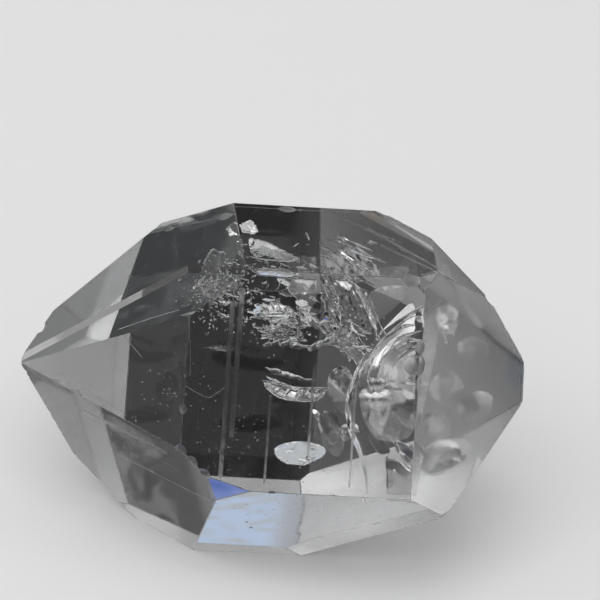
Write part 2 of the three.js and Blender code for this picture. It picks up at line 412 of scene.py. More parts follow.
# Several plates are made alike, from whether they are rounded to their cells.
VEIL = (True, 0.04, (0.01, 0.6), (0.0, 0.02), 0.1, 16)
CLOUD = (True, 0.05, (0.02, 0.6), (0.0, 0.02), 0.1, 18)
PLATES = (
    # name, middle, facing, heading,
    # outline,
    # rounded, bow, (height and pitch of flow lines), (grain, raggedness), gape at the rim, cells and,
    # for some, where their flow lines spread from
    ("oval_plate", (0.84, -5.07, -1.02), (0.05, 0.1, 1), (1, 0, 0),
     ((-1.4, 0.3), (-0.5, 1.1), (0.5, 1.3), (1.3, 1.0), (1.4, 0.3),
      (0.9, -0.6), (0.0, -1.4), (-0.8, -1.4), (-1.4, -0.7)),
     True, 0.05, (0.004, 0.2), (0.03, 0.03), 1.5, 32),
    ("shell", (5.3, -2.8, 2.5), (0.1, -0.33, 1), (1, 0, 0),
     ((1.7, 5.5), (0.8, 4.8), (-0.2, 3.4), (-1.0, 1.9), (-1.5, 0.3), (-1.6, -1.0), (-1.5, -2.1),
      (-1.2, -3.2), (-0.6, -4.1), (0.4, -4.1), (1.4, -3.4), (1.6, -1.1), (1.7, 2.4)),
     True, 0.05, (0.012, 0.5), (0.0, 0.02), 0.3, 56, SHELL_FLOW),
    ("tongue", (4.7, -5.05, 2.14), (0.1, -0.38, 1), (1, 0, 0),
     ((-0.9, 1.1), (-0.2, 1.3), (0.7, 1.3), (0.9, 0.6), (0.6, -0.5),
      (0.4, -1.2), (-0.2, -1.6), (-0.7, -1.0), (-0.9, 0.0)),
     True, 0.02, (0.001, 0.4), (0.0, 0.02), 0.2, 28),
    ("slant_band", (5.0, -4.6, -0.2), (0.1, -0.25, 1), (1, 0, 0),
     ((-0.8, 1.2), (-0.3, 1.1), (0.5, -0.2), (0.7, -0.8), (0.1, -1.0), (-0.5, 0.1)),
     True, 0.02, (0.004, 0.4), (0.0, 0.02), 0.5, 20),
    ("flame", (6.6, -4.9, -0.7), (0.1, -0.25, 1), (1, 0, 0),
     ((-0.7, 1.0), (-0.2, 0.7), (0.5, 0.0), (0.4, -0.9), (0.3, -1.1), (-0.3, -0.5), (-0.6, 0.2)),
     True, 0.08, (0.02, 0.5), (0.0, 0.03), 1.0, 26),
    ("lobe", (8.1, -3.4, -1.9), (0.1, -0.22, 1), (1, 0, 0),
     ((-0.9, 0.6), (-0.4, 1.0), (1.2, 1.4), (1.9, 0.9),
      (1.7, 0.0), (0.7, -1.0), (-0.6, -1.6), (-1.4, -1.0)),
     True, 0.07, (0.008, 0.6), (0.0, 0.02), 0.3, 28),
    ("grey_window", (6.2, -6.6, -1.3), (0.1, -0.32, 1), (1, 0, 0),
     ((-0.7, 1.5), (0.1, 1.2), (0.75, 1.3), (0.75, -1.1), (-0.7, -1.2)),
     False, 0.02, (0.002, 0.4), (0.004, 0.05), 0.6, 18),
    ("crest", (8.1, -3.2, -1.4), (0.24, -0.22, 1), (1, 0, 0),
     ((-1.4, -0.85), (-1.1, -0.25), (-0.4, 0.25), (0.5, 0.45), (1.2, 0.15),
      (1.4, -0.5), (1.0, -0.3), (0.3, -0.1), (-0.5, -0.35), (-1.0, -0.9)),
     True, 0.08, (0.006, 0.5), (0.0, 0.03), 0.3, 22),
    ("hook", (3.5, -3.9, -0.2), (0.1, -0.16, 1), (1, 0, 0),
     ((-0.6, 0.1), (-0.1, 0.5), (0.4, 0.6), (0.6, 0.0), (0.2, -0.2), (0.0, -0.7), (-0.4, -0.7)),
     True, 0.15, (0.02, 0.4), (0.0, 0.05), 1.0, 20),
    ("spark", (1.7, -3.2, 0.3), (0.1, -0.16, 1), (1, 0, 0),
     ((-0.3, 0.4), (0.1, 0.2), (0.3, -0.4), (-0.1, -0.3)),
     True, 0.05, (0.0, 0.5), (0.02, 0.05), 1.0, 8),
    ("fan_scales", (7.9, -0.8, 5.1), (0.1, -0.28, 1), (1, 0, 0),
     ((-0.9, 0.9), (-0.1, 1.3), (0.7, 0.9), (0.8, -0.4), (0.5, -1.6), (-0.2, -0.9), (-0.8, 0.0)),
     False, 0.3, (0.03, 0.5), (0.03, 0.1), 1.5, 24),
    ("wing", (3.1, -0.1, 5.6), (0.8, -0.2, 1), (1, 0, 0),
     ((-2.3, 0.6), (-0.7, 1.6), (0.2, 2.0), (1.3, 1.9), (2.0, 1.1),
      (2.2, 0.1), (1.5, -1.2), (0.0, -1.9), (-1.4, -2.3), (-2.3, -1.3)),
     False, 0.08, (0.02, 0.26), (0.06, 0.15), 1.8, 46),
    ("wing_top", (2.6, -0.6, 7.2), (0.1, -0.28, 1), (1, 0, 0),
     ((-0.5, 0.2), (0.1, 0.3), (0.4, 0.0), (0.2, -0.4), (-0.2, -0.2)),
     False, 0.02, (0.01, 0.2), (0.0, 0.2), 1.0, 12),
    ("wing_gleam", (3.8, -1.3, 6.4), (0.1, -0.22, 1), (1, 0, 0),
     ((-0.7, 1.7), (-0.4, 1.4), (0.0, 0.6), (0.5, -0.9), (0.5, -1.9), (0.2, -1.2), (-0.2, 0.1)),
     False, 0.02, (0.01, 0.3), (0.02, 0.3), 1.2, 20),
    ("wing_low", (3.3, -1.9, 5.3), (0.1, -0.22, 1), (1, 0, 0),
     ((-0.7, 0.6), (-0.2, 0.4), (0.7, -0.2), (0.4, -0.6), (-0.3, -0.2)),
     False, 0.02, (0.01, 0.2), (0.02, 0.3), 1.2, 14),
    ("upper_sliver", (3.2, 1.1, 7.7), (0.2, 0.25, 1), (1, -0.9, 0),
     ((-1.2, 0.2), (-0.8, 0.35), (0.0, 0.25), (1.1, -0.1), (0.4, -0.2), (-0.6, -0.15)),
     False, 0.02, (0.0, 0.3), (0.01, 0.1), 0.8, 16),
    ("lower_sliver", (3.3, -0.6, 7.7), (0.2, 0.31, 1), (1, -0.9, 0),
     ((-1.5, 0.3), (-0.9, 0.45), (0.1, 0.3), (1.4, -0.1), (0.5, -0.25), (-0.8, -0.15)),
     False, 0.02, (0.0, 0.3), (0.01, 0.1), 0.8, 16),
    ("feather", (-1.5, 0.2, 7.3), (0.02, 0.2, 1), (1, -0.3, 0),
     ((-1.4, 1.0), (-0.9, 1.2), (-0.1, 1.0), (1.0, 0.4), (1.7, 0.0),
      (1.2, -0.6), (0.4, -0.8), (-0.5, -1.0), (-1.0, -0.4)),
     False, 0.06, (0.004, 0.1), (0.01, 0.08), 1.6, 44),
    ("pale_scale", (-2.4, 2.6, 7.0), (0.0, 0.2, 1), (1, 0, 0),
     ((-0.5, 0.3), (0.2, 0.9), (0.4, 0.6), (0.5, -0.3), (0.2, -0.7), (-0.4, -0.5)),
     False, 0.06, (0.01, 0.2), (0.03, 0.2), 1.5, 20),
    ("grey_pane", (0.3, -0.5, 6.5), (0.1, -0.42, 1), (1, 0, 0),
     ((-1.0, 0.7), (-0.1, 0.9), (0.8, 0.9), (0.8, -0.4), (0.3, -1.4), (-0.3, -0.6), (-0.8, 0.0)),
     False, 0.06, (0.01, 0.6), (0.0, 0.1), 0.6, 22),
    ("silver_patch", (-0.8, -0.7, 4.9), (0.1, -0.26, 1), (1, 0, 0),
     ((-1.7, -0.3), (-1.4, 0.6), (-0.5, 0.9), (0.6, 0.8),
      (1.9, 0.0), (1.5, -0.7), (0.3, -0.6), (-0.8, -0.3)),
     False, 0.12, (0.016, 0.4), (0.04, 0.3), 1.6, 44, HACKLE),
    ("low_patch", (-0.6, -1.2, 4.1), (0.1, -0.28, 1), (1, 0, 0),
     ((-1.4, 0.3), (-0.4, 0.6), (1.0, 0.2), (1.5, -0.3), (0.2, -0.4), (-0.9, -0.5)),
     False, 0.1, (0.016, 0.35), (0.04, 0.5), 1.6, 36, HACKLE),
    ("crescent", (0.4, -3.0, 1.8), (0.05, -0.31, 1), (1, 0, 0),
     ((-1.9, 0.8), (-1.2, 0.3), (0.2, 0.1), (1.2, 0.3), (2.0, 1.1),
      (1.8, 0.2), (1.2, -0.7), (0.1, -0.9), (-1.1, -0.7), (-1.8, 0.0)),
     True, 0.06, (0.012, 0.12), (0.01, 0.05), 1.8, 40),
    ("dark_block", (-3.6, 0.6, 6.3), (0.1, -1.08, 1), (1, 0, 0),
     ((-0.9, 0.3), (-0.5, 1.2), (0.3, 0.6), (0.8, -0.6), (0.6, -1.0), (-0.5, -0.7)),
     False, 0.05, (0.0, 0.3), (0.02, 0.1), 2.0, 16),
    ("low_fan", (3.0, -1.8, 4.2), (0.1, -0.36, 1), (1, -0.4, 0),
     ((-1.6, 0.4), (-0.8, 1.0), (0.3, 0.6), (1.1, -0.4), (1.3, -1.0), (0.3, -0.9), (-0.8, -0.5)),
     False, 0.1, (0.03, 0.2), (0.03, 0.5), 2.0, 28),
    ("veil_a", (8.2, -2.8, 2.1), (0.1, -0.35, 1), (1, 0, 0),
     ((-1.1, 0.5), (-0.3, 1.3), (0.9, 0.9), (1.4, -0.3), (0.7, -1.2), (-0.4, -0.9), (-1.1, -0.3)),
     *VEIL),
    ("veil_b", (9.9, -1.0, 3.5), (-0.05, -0.39, 1), (1, 0, 0),
     ((-1.2, 0.5), (-0.1, 0.9), (1.0, 0.3), (1.1, -0.6), (0.1, -0.9), (-0.8, -0.4)),
     *VEIL),
    ("veil_c", (10.3, -2.3, 0.6), (0.2, -0.34, 1), (1, 0, 0),
     ((-1.2, 0.2), (-0.1, 1.1), (1.0, 1.0), (1.1, -0.1), (0.1, -1.1), (-1.0, -0.9)),
     *VEIL),
    ("veil_d", (7.7, -4.1, 0.6), (0.0, -0.36, 1), (1, 0, 0),
     ((-0.5, 0.9), (0.6, 0.6), (1.2, -0.3), (0.6, -1.0), (-0.5, -0.7), (-1.0, 0.3)),
     *VEIL),
    ("cloud_a", (2.8, -3.6, 2.3), (0.1, -0.37, 1), (1, 0, 0),
     ((-0.6, 1.1), (0.2, 1.6), (0.7, 0.7), (0.7, -0.8), (0.2, -1.6), (-0.4, -1.1), (-0.8, 0.0)),
     *CLOUD),
    ("cloud_b", (2.3, -5.2, 0.4), (0.15, -0.39, 1), (1, 0, 0),
     ((-0.4, 1.5), (0.4, 1.2), (0.8, -0.3), (0.4, -1.4), (-0.2, -1.0), (-0.7, 0.3)),
     *CLOUD),
    ("cloud_c", (4.9, -1.3, 6.7), (0.1, -0.45, 1), (1, 0, 0),
     ((-0.8, 0.6), (0.4, 1.1), (1.3, 1.0), (0.8, 0.1), (0.0, -0.8), (-0.8, -1.5), (-1.1, -0.4)),
     *CLOUD),
)
# Bands lie along a spine. Those with this facing lie under the upper front face.
FRONT = (0, -0.87, 0.5)
BANDS = (
    # name, middle, facing, heading,
    # spine, half widths at its ends, lean, bow, grain, raggedness
    ("crescent_lip", (0.47, -2.66, 2.0), (0.05, -0.2, 1), (1, 0, 0),
     ((-1.8, 0.9), (-0.9, 0.6), (0.2, 0.3), (1.1, 0.3)), (0.3, 0.08), 0, 0.05, 0.08, 0.3),
    ("bright_rim", (1.0, -1.1, 3.9), (0.1, 0.0, 1), (1, 0, 0),
     ((-2.8, -1.5), (-1.9, -0.9), (-0.9, -0.9), (0.1, -0.8), (1.2, 0.3), (2.1, 1.5), (2.5, 2.2)),
     (0.32, 0.2), 0, 0.1, 0.2, 0.6),
    ("outer_arc", (5.0, -4.2, 2.2), FRONT, (0, 0.5, 0.87),
     ((5.6, -2.6), (4.6, -1.0), (3.2, 0.4), (1.6, 1.3), (0.0, 1.75),
      (-1.5, 1.6), (-2.8, 1.0), (-4.0, 0.6), (-5.2, 0.4)),
     (0.3, 0.3), 50, 0.05, 0.02, 0.1),
    ("lobe_lip", (8.1, -3.4, -1.9), (0.1, -0.1, 1), (1, 0, 0),
     ((-1.6, -1.2), (-0.6, -1.7), (0.7, -1.1), (1.7, -0.1), (2.0, 0.9)),
     (0.12, 0.08), 30, 0.03, 0.01, 0.1),
    ("net_line", (1.9, -2.0, 6.6), FRONT, (1, 0, 0),
     ((-0.6, 1.3), (-0.3, 0.6), (0.4, -0.2), (0.5, -1.1)), (0.1, 0.06), 55, 0.02, 0.06, 0.5),
    ("net_edge", (4.0, -2.0, 6.4), FRONT, (1, 0, 0),
     ((-0.9, 1.4), (-0.3, 0.6), (0.2, -0.4), (0.5, -1.5)), (0.14, 0.1), 55, 0.02, 0.06, 0.5),
    ("net_spur", (4.4, -2.3, 6.3), FRONT, (1, 0, 0),
     ((-0.4, 0.9), (0.0, 0.0), (0.5, -1.0)), (0.1, 0.08), -55, 0.02, 0.06, 0.5),
)
# Silky ribbons under the scar: ring, turns, depth, half width and lean.
RIBBONS = (
    (3.2, (104, 150), 0.7, 0.3, 50),
    (3.05, (148, 192), 0.8, 0.22, 48),
    (2.7, (96, 138), 0.9, 0.32, 50),
    (2.55, (132, 180), 1.0, 0.26, 48),
    (2.2, (92, 134), 1.2, 0.28, 52),
    (1.8, (100, 140), 1.2, 0.2, 48),
)
HAIRLINES = (
    ((-6.15, -3.95, 6.43), (-5.95, -4.59, 5.34), (-5.88, -5.43, 3.91)),
    ((-9.24, -2.4, 4.2), (-8.82, -2.94, 3.94), (-8.29, -3.59, 3.64)),
    ((-6.06, -5.7, 3.42), (-5.43, -5.91, 3.14), (-4.75, -6.09, 2.91),
     (-4.28, -5.91, 3.29), (-3.81, -5.76, 3.62)),
    ((-8.32, -3.28, -3.35), (-6.99, -4.59, -3.19), (-5.23, -6.24, -3.1), (-3.66, -7.8, -2.87)),
    ((-9.55, -3.11, -1.73), (-7.81, -4.8, -1.53), (-5.77, -6.59, -1.65)),
    ((-12.28, -1.56, 0.87), (-10.24, -3.53, 0.67), (-8.82, -4.84, 0.64)),
    ((3.61, 2.08, 9.15), (5.38, 0.47, 9.15), (7.6, -1.6, 9.15)),
    ((4.03, 0.81, 9.15), (5.55, -0.54, 9.15), (7.11, -1.52, 9.15)),
    ((-9.6, -2.04, 4.26), (-8.08, -2.64, 5.61), (-6.65, -3.3, 6.73)),
)
HAIR = 0.018

# How the surface of a crack runs: waves of fraying round its edge, swirl of its flow lines, and the
# fineness of its coarse and fine grain, with the fine grain's share.
FRAYING = 6
SWIRL = 1.5
COARSE_GRAIN = 1.4
FINE_GRAIN = 4.0
FINE_SHARE = 0.3
SEED_STEP = 7.3
# How far a crack gapes in its middle and how much of that it loses on the way out, in shares of
# GAP, and how far out its rim starts.
MIDDLE_GAPE = 0.5
GAPE_LOSS = 0.35
RIM_START = 0.93
CREASE_ANGLE = 45
CURVE_STEPS = 5
# Bands: cells along and across, how their ends taper, their fraying, grain and gape.
BAND_CELLS = 48
BAND_WIDTH_CELLS = 6
BAND_TAPER = 0.6
BAND_TIP = 0.05
BAND_FRAYING = (14, 0.6)
BAND_GRAIN = 3.0
BAND_GAPE = 0.6


def crack_frame(middle, facing, heading):
    out = Vector(facing).normalized()
    along = Vector(heading)
    along = (along - out * out.dot(along)).normalized()
    return Vector(middle), along, out.cross(along), out


def outline_reach(outline, turn):
    """How far the outline lies from the middle in one direction."""
    way = Vector((math.cos(turn), math.sin(turn)))
    for (ax, ay), (bx, by) in zip(outline, outline[1:] + outline[:1]):
        a, b = Vector((ax, ay)), Vector((bx, by))
        side_a, side_b = way.x * a.y - way.y * a.x, way.x * b.y - way.y * b.x
        if side_a * side_b <= 0 and side_a != side_b:
            cross = a.lerp(b, side_a / (side_a - side_b))
            if cross.dot(way) > 0:
                return cross.dot(way)
    return min(Vector(p).length for p in outline)


def crack_sheet(name, long_cells, cross_cells):
    deselect()
    bpy.ops.mesh.primitive_grid_add(x_subdivisions=long_cells, y_subdivisions=cross_cells, size=2)
    sheet = bpy.context.object
    sheet.name = name
    return sheet


def grain_at(u, v, seed, fineness):
    return noise.noise(Vector((u * fineness, v * fineness, seed * SEED_STEP)))


def open_gap(sheet, thinning):
    """Gives a crack its two walls, which close up towards its edge and face into the gap."""
    width = sheet.vertex_groups.new(name="gap")
    for vert, weight in enumerate(thinning):
        width.add([vert], weight / THICKEST, "REPLACE")
    pick(sheet)
    walls = sheet.modifiers.new("gap", "SOLIDIFY")
    walls.thickness = GAP * THICKEST
    walls.offset = 0
    walls.vertex_group = "gap"
    walls.thickness_vertex_group = THINNEST
    bpy.ops.object.modifier_apply(modifier=walls.name)
    sheet.vertex_groups.clear()
    edit(sheet)
    bpy.ops.mesh.normals_make_consistent(inside=True)
    done()
    bpy.ops.object.shade_smooth_by_angle(angle=math.radians(CREASE_ANGLE))
    return sheet


def rounded_outline(outline):
    """More points along a smooth closed curve through an outline's own."""
    knots = [Vector(p) for p in outline]
    curve = []
    for i, knot in enumerate(knots):
        around = knots[i - 1], knot, knots[(i + 1) % len(knots)], knots[(i + 2) % len(knots)]
        curve += [tuple(smooth_step(*around, t / CURVE_STEPS)[0]) for t in range(CURVE_STEPS)]
    return tuple(curve)


def crack_wall(spots, crack, outline, bow, flow, edge_look, rim, seed, spread_from=FLOW):
    """Where each spot of a flat sheet lies on a bowed crack with flow lines, and how far it gapes."""
    centre, along, across, out = crack
    reach = max(Vector(p).length for p in outline)
    (flow_height, pitch), (grain, ragged) = flow, edge_look
    from_u, from_v, drawn_out = spread_from
    edges = {}
    places, gapes = [], []
    for x, y in spots:
        share = max(abs(x), abs(y))
        turn = math.atan2(y, x)
        key = round(turn, 5)
        if key not in edges:
            ring = Vector((math.cos(turn) * FRAYING, math.sin(turn) * FRAYING, seed))
            edges[key] = outline_reach(outline, turn) * (1 + ragged * noise.noise(ring))
        u, v = share * edges[key] * math.cos(turn), share * edges[key] * math.sin(turn)
        ray = Vector((u - from_u * reach, (v - from_v * reach) * drawn_out))
        ripple = Vector((ray.length / pitch, SWIRL * math.atan2(ray.y, ray.x), seed))
        height = bow * (1 - (u * u + v * v) / (reach * reach)) + flow_height * noise.noise(ripple)
        height += grain * grain_at(u, v, seed, COARSE_GRAIN)
        height += FINE_SHARE * grain * grain_at(u, v, seed, FINE_GRAIN)
        places.append(centre + along * u + across * v + out * height)
        gapes.append(rim if share > RIM_START else MIDDLE_GAPE - GAPE_LOSS * share ** 4)
    return places, gapes


def plate(
    seed, name, middle, facing, heading, outline, rounded, bow, flow, edge_look, rim, cells,
    spread_from=FLOW,
):
    """A conchoidal crack: a bowed plate with flow lines round one end and a ragged edge."""
    if rounded:
        outline = rounded_outline(outline)
    sheet = crack_sheet(name, cells, cells)
    spots = [vert.co.xy for vert in sheet.data.vertices]
    crack = crack_frame(middle, facing, heading)
    places, gapes = crack_wall(spots, crack, outline, bow, flow, edge_look, rim, seed, spread_from)
    for vert, place in zip(sheet.data.vertices, places):
        vert.co = place
    return open_gap(sheet, gapes)


def band(
    seed, name, middle, facing, heading, spine, widths, lean, bow, grain, ragged, cells=BAND_CELLS
):
    """A long narrow crack along a bent spine, leaning out of the spine's plane."""
    centre, along, across, out = crack_frame(middle, facing, heading)
    sheet = crack_sheet(name, cells, BAND_WIDTH_CELLS)
    knots = [Vector(p) for p in spine]
    flat_share, deep_share = math.cos(math.radians(lean)), math.sin(math.radians(lean))
    for vert in sheet.data.vertices:
        way, side_way = (vert.co.x + 1) / 2, vert.co.y
        spot = way * (len(knots) - 1)
        knot = min(int(spot), len(knots) - 2)
        before, after = knots[max(knot - 1, 0)], knots[min(knot + 2, len(knots) - 1)]
        a, b = knots[knot], knots[knot + 1]
        at, ahead = smooth_step(before, a, b, after, spot - knot)
        side = Vector((-ahead.y, ahead.x)).normalized()
        half = widths[0] + (widths[1] - widths[0]) * way
        half *= max(BAND_TIP, math.sin(math.pi * way)) ** BAND_TAPER
        fray = Vector((way * BAND_FRAYING[0], side_way * BAND_FRAYING[1], seed))
        half *= 1 + ragged * noise.noise(fray)
        flat = at + side * side_way * half * flat_share
        height = bow * (1 - side_way ** 2) + side_way * half * deep_share
        height += grain * grain_at(flat.x, flat.y, seed, BAND_GRAIN)
        vert.co = centre + along * flat.x + across * flat.y + out * height
    return open_gap(sheet, [BAND_GAPE] * len(sheet.data.vertices))


def smooth_step(before, a, b, after, t):
    """A point on a smooth curve from a to b, and the way it runs there."""
    out_a, out_b = (b - before) / 2, (after - a) / 2
    at = (2 * t ** 3 - 3 * t ** 2 + 1) * a + (t ** 3 - 2 * t ** 2 + t) * out_a
    at += (-2 * t ** 3 + 3 * t ** 2) * b + (t ** 3 - t ** 2) * out_b
    ahead = (6 * t ** 2 - 6 * t) * a + (3 * t ** 2 - 4 * t + 1) * out_a
    ahead += (6 * t - 6 * t ** 2) * b + (3 * t ** 2 - 2 * t) * out_b
    return at, ahead


def hairline(number, points):
    """A hair-thin growth tube just under a face."""
    line = bpy.data.curves.new(f"hairline_{number}", "CURVE")
    line.dimensions = "3D"
    line.bevel_depth = HAIR
    line.bevel_resolution = 1
    line.use_fill_caps = True
    spline = line.splines.new("NURBS")
    spline.points.add(len(points) - 1)
    for knot, point in zip(spline.points, points):
        knot.co = (*point, 1)
    spline.use_endpoint_u = True
    spline.order_u = 3
    tube = bpy.data.objects.new(line.name, line)
    bpy.context.scene.collection.objects.link(tube)
    pick(tube)
    bpy.ops.object.convert(target="MESH")
    edit(tube)
    bpy.ops.mesh.remove_doubles(threshold=WELD)
    bpy.ops.mesh.normals_make_consistent(inside=True)
    done()
    bpy.ops.object.shade_smooth()
    return tube


# Small things scatter round the middle of their group, with this share of its spread as their
# standard deviation.
SCATTER = 0.5
BUBBLE_CLEARANCE = 0.1
# Tiny round bubbles: how many, their middle and spread, least and greatest radius.
BUBBLES = (
    (60, (-2.6, -6.2, 1.2), (2.4, 0.9, 2.6), (0.02, 0.045)),
    (25, (1.0, -5.6, 1.0), (3.0, 1.2, 3.0), (0.02, 0.04)),
    (25, (-3.9, -6.6, 0.0), (0.9, 1.0, 1.8), (0.02, 0.045)),
    (160, (2.6, -7.0, -3.6), (5.6, 0.8, 2.6), (0.02, 0.05)),
    (60, (-9.0, -2.6, -2.6), (3.2, 1.4, 2.4), (0.02, 0.045)),
    (50, (-7.0, -4.4, 1.8), (2.8, 1.2, 2.6), (0.025, 0.06)),
)


def scattered(middle, spread, chance):
    return Vector(m + s * chance.gauss(0, SCATTER) for m, s in zip(middle, spread))


def repeat(piece, count):
    pick(piece)
    copies = piece.modifiers.new("copies", "ARRAY")
    copies.count = count
    bpy.ops.object.modifier_apply(modifier=copies.name)


def bubbles(count, middle, spread, sizes, chance):
    spots = [scattered(middle, spread, chance) for _ in range(count)]
    spots = [spot for spot in spots if depth_under_faces(spot) > BUBBLE_CLEARANCE]
    deselect()
    bpy.ops.mesh.primitive_ico_sphere_add(subdivisions=1, radius=1)
    foam = bpy.context.object
    ball = [vert.co.copy() for vert in foam.data.vertices]
    repeat(foam, len(spots))
    corners = iter(foam.data.vertices)
    for spot in spots:
        radius = chance.uniform(*sizes)
        for place in ball:
            next(corners).co = spot + place * radius
    edit(foam)
    bpy.ops.mesh.flip_normals()
    done()
    bpy.ops.object.shade_smooth()
    return foam


# Ribbons: the knots of each one's arc, how it sways, tapers, bows and frays, and its cells along.
RIBBON_KNOTS = 5
RIBBON_SWAY = 0.06
RIBBON_SWAY_STEP = 2.2
RIBBON_TAPER = 0.7
RIBBON_BOW = 0.22
RIBBON_GRAIN = 0.01
RIBBON_FRAY = 0.1
RIBBON_CELLS = 40


def ribbon(number, ring, turns, depth, half, lean):
    middle, along, _, out = scar_middle()
    start, end = (math.radians(turn) for turn in turns)
    spine = []
    for step in range(RIBBON_KNOTS):
        turn = start + (end - start) * step / (RIBBON_KNOTS - 1)
        reach = ring + RIBBON_SWAY * math.sin(RIBBON_SWAY_STEP * step + number)
        spine.append((reach * math.cos(turn), reach * math.sin(turn)))
    widths = (half, RIBBON_TAPER * half)
    return band(
        number, f"ribbon_{number}", middle - out * depth, out, along, spine, widths, lean,
        RIBBON_BOW * half, RIBBON_GRAIN, RIBBON_FRAY, RIBBON_CELLS,
    )


CLUSTERS = (
    # name, how many, middle, spread, sizes,
    # facing and its scatter, heading and its scatter, slimness
    ("torn", 34, (0.0, -0.9, 4.9), (2.8, 1.0, 1.4), (0.3, 1.3),
     (0.1, -0.27, 1.0), 0.4, (1, -0.7, 0), 0.8, (0.1, 0.6)),
    ("splinter", 34, (3.1, 0.3, 7.6), (1.6, 1.5, 0.9), (0.2, 1.2),
     (0.2, 0.28, 1.0), 0.2, (1, -0.9, 0), 0.2, (0.05, 0.2)),
    ("net", 36, (-1.0, 0.2, 6.6), (3.4, 2.0, 1.6), (0.2, 0.7),
     (0.1, -0.1, 1.0), 0.6, (1, -0.5, 0), 1.0, (0.1, 0.6)),
    ("sugar", 380, (-4.5, -1.5, 6.9), (1.9, 1.3, 1.5), (0.03, 0.2),
     (0.0, 0.1, 1.0), 0.9, (1, 0, 0), 1.0, (0.4, 1.0)),
    ("grit", 40, (-4.3, -1.2, 6.9), (2.2, 1.8, 1.8), (0.15, 0.6),
     (0.1, -0.1, 1.0), 0.8, (1, 0, 0), 1.0, (0.15, 0.7)),
    ("crumb", 90, (0.6, -1.0, 5.2), (6.0, 1.6, 2.6), (0.03, 0.14),
     (0.1, -0.1, 1.0), 1.2, (1, 0, 0), 1.0, (0.4, 1.0)),
    ("fan", 14, (3.4, -1.9, 4.2), (1.2, 0.5, 0.8), (0.4, 1.1),
     (0.1, -0.3, 1.0), 0.3, (1, -0.6, -0.4), 0.5, (0.05, 0.15)),
    ("scale", 8, (7.9, -0.9, 5.2), (0.9, 0.6, 1.0), (0.3, 0.8),
     (0.1, -0.28, 1.0), 0.3, (1, 0, 0), 0.6, (0.4, 0.9)),
    ("dust", 70, (-1.2, -1.5, 5.0), (3.4, 1.4, 1.6), (0.04, 0.14),
     (0.1, -0.25, 1.0), 0.5, (1, 0, 0), 1.0, (0.3, 1.0)),
)
FINE_FLAKE = 0.28
FINE_CELLS = 3
COARSE_CELLS = 6
# A flake's corners, how far they reach, and how evenly they are spread round it.
FLAKE_CORNERS = (5, 8)
FLAKE_REACH = (0.55, 1.0)
FLAKE_EVENNESS = 0.5
# Its bow and grain in shares of its size, its raggedness, and the gapes of its rim.
FLAKE_BOW = 0.15
FLAKE_GRAIN = 0.04
FLAKE_FRAY = 0.3
FLAKE_RIMS = (0.1, 1.2, 2.4)
# It reaches at most this share of the way to the nearest face.
FLAKE_CLEARANCE = 0.9
CRACK_SEED = 11


def depth_under_faces(spot):
    """How far a point lies under the nearest of the crystal's faces."""
    depths = [reach - prism(place).dot(spot) for place, reach in enumerate(PRISM_REACH)]
    for end, reaches in ((-1, LEFT_REACH), (1, RIGHT_REACH)):
        depths += [reach - rhomb(place, end).dot(spot) for place, reach in enumerate(reaches)]
    return min(depths)


def chance_outline(chance, size, slim):
    corners = chance.randint(*FLAKE_CORNERS)
    turns = sorted(chance.uniform(0, math.tau) for _ in range(corners))
    even = [FLAKE_EVENNESS * math.tau * i / corners for i in range(corners)]
    turns = [(1 - FLAKE_EVENNESS) * turn + share for turn, share in zip(turns, even)]
    reaches = [size * chance.uniform(*FLAKE_REACH) for _ in turns]
    return tuple((r * math.cos(t), slim * r * math.sin(t)) for t, r in zip(turns, reaches))


def flakes(name, cells, shapes):
    """Many small cracks in one piece: the sheet is repeated and each copy shaped on its own."""
    sheet = crack_sheet(name, cells, cells)
    spots = [tuple(vert.co.xy) for vert in sheet.data.vertices]
    repeat(sheet, len(shapes))
    corners = iter(sheet.data.vertices)
    gapes = []
    for shape in shapes:
        places, some = crack_wall(spots, *shape)
        for place in places:
            next(corners).co = place
        gapes += some
    return open_gap(sheet, gapes)


def cluster(
    name, count, middle, spread, sizes, facing, scatter, heading, turning, slimness, chance
):
    fine, coarse = [], []
    least, greatest = sizes
    for number in range(count):
        spot = scattered(middle, spread, chance)
        tilt = Vector(facing) + Vector(chance.gauss(0, scatter * SCATTER) for _ in range(3))
        way = Vector(heading) + Vector(chance.gauss(0, turning) for _ in range(3))
        size = least + (greatest - least) * chance.random() ** 2
        size = min(size, FLAKE_CLEARANCE * depth_under_faces(spot))
        if size < least:
            continue
        outline = chance_outline(chance, size, chance.uniform(*slimness))
        bow = size * chance.uniform(-FLAKE_BOW, FLAKE_BOW)
        edge_look = (FLAKE_GRAIN * size, FLAKE_FRAY)
        rim = chance.choice(FLAKE_RIMS)
        crack = crack_frame(spot, tilt, way)
        shape = (crack, outline, bow, (0.0, 1.0), edge_look, rim, number)
        (fine if size < FINE_FLAKE else coarse).append(shape)
    sets = ((fine, FINE_CELLS), (coarse, COARSE_CELLS))
    return [flakes(f"{name}_{cells}", cells, shapes) for shapes, cells in sets if shapes]


def fractures():
    chance = random.Random(CRACK_SEED)
    cracks = [plate(i, *facts) for i, facts in enumerate(PLATES)]
    cracks += [band(i, *facts) for i, facts in enumerate(BANDS)]
    cracks += [ribbon(i, *facts) for i, facts in enumerate(RIBBONS)]
    cracks += [hairline(i, points) for i, points in enumerate(HAIRLINES)]
    for facts in CLUSTERS:
        cracks += cluster(*facts, chance)
    for facts in BUBBLES:
        cracks.append(bubbles(*facts, chance))
    deselect()
    for crack in cracks:
        crack.select_set(True)
    bpy.context.view_layer.objects.active = cracks[0]
    bpy.ops.object.join()
    joined = bpy.context.object
    joined.name = "fractures"
    return joined


# ---- Materials ----


def feed(tree, socket, value):
    """Gives a socket a constant, or a link from another node's output."""
    if isinstance(value, bpy.types.NodeSocket):
        tree.links.new(value, socket)
    else:
        socket.default_value = value


